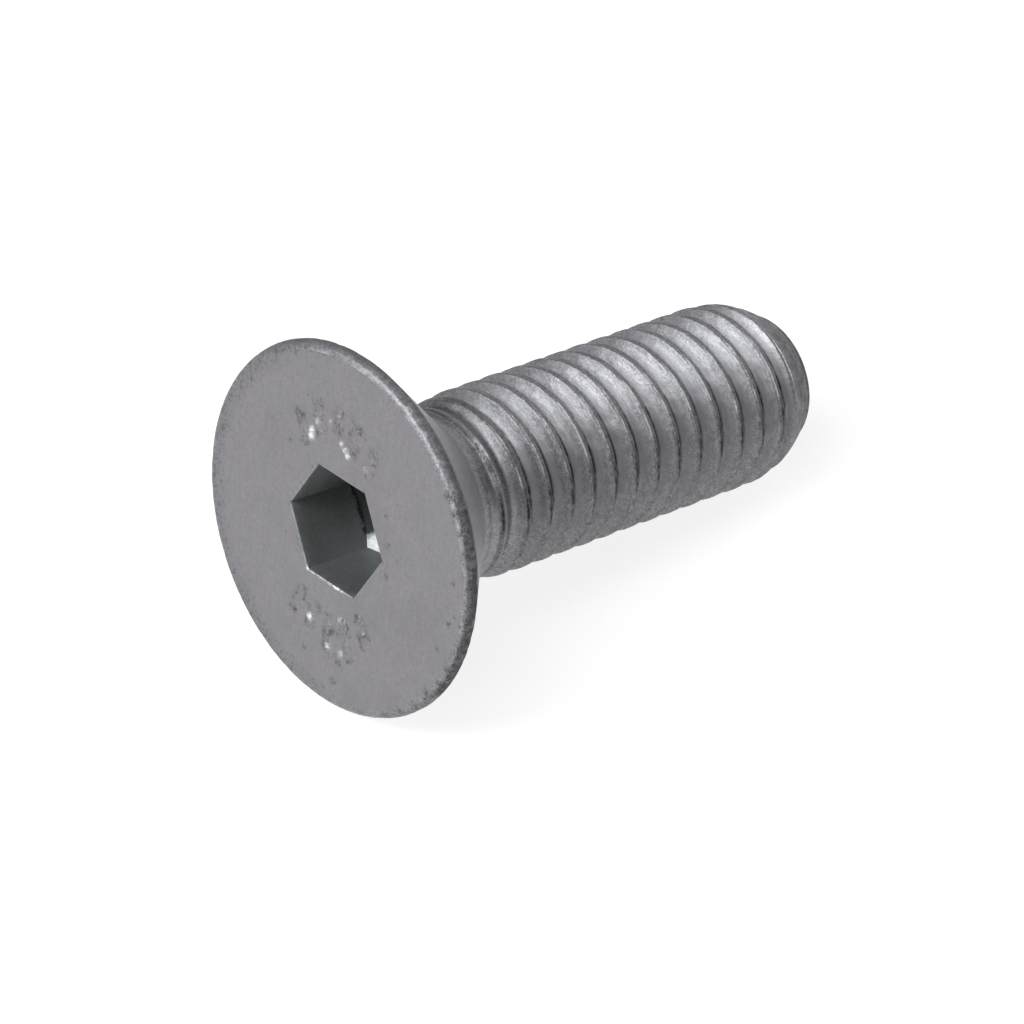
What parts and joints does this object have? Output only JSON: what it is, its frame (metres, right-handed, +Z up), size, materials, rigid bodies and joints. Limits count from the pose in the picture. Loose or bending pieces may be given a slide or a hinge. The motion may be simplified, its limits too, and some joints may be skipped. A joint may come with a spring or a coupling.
{
  "type": "countersunk hexagon socket screw",
  "caption": "Flat-head machine screw with a hexagon socket, a conical seat under the head and a thread to its bevelled tip.",
  "frame": {"origin": "centre of the bottom of the screw's box as it lies on its side, on the surface it rests on", "axes": "+Z up, +X along the screw from head to tip as seen from above, +Y to the left of that. The screw's own axis lies in the XZ plane and dips towards the tip, by the tilt at which it rests on the rim of its head and on its thread"},
  "size_m": [0.0318, 0.0196, 0.0194],
  "materials": {
    "flake_coated_steel": "thin zinc flake coat, matt silver grey with a fine sparkle, worn bright on edges"
  },
  "bodies": {
    "root": {"screw": "flake_coated_steel"}
  },
  "joints": []
}
